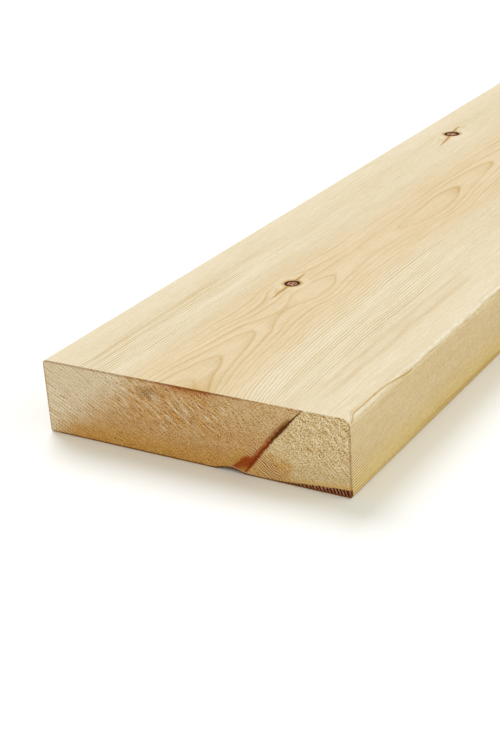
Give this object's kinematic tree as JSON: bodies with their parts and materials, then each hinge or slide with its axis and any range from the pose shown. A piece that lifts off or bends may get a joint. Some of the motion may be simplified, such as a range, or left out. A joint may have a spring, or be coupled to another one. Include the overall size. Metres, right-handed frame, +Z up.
{
  "type": "timber plank",
  "caption": "Planed softwood plank of rectangular section, with eased long edges, square-sawn ends and visible grain and knots, lying flat on its wide face.",
  "frame": {"origin": "centre of the underside, on the surface that the plank lies on", "axes": "+X along the length, with the knotted end that carries the dent at -X; +Y across the width; +Z up through the thickness, out of the upper wide face"},
  "size_m": [2.4, 0.195, 0.045],
  "materials": {
    "softwood": "bare planed softwood, matt, pale straw with darker grain lines and knots, and sawn end grain"
  },
  "bodies": {
    "root": {"plank": "softwood"}
  },
  "joints": []
}
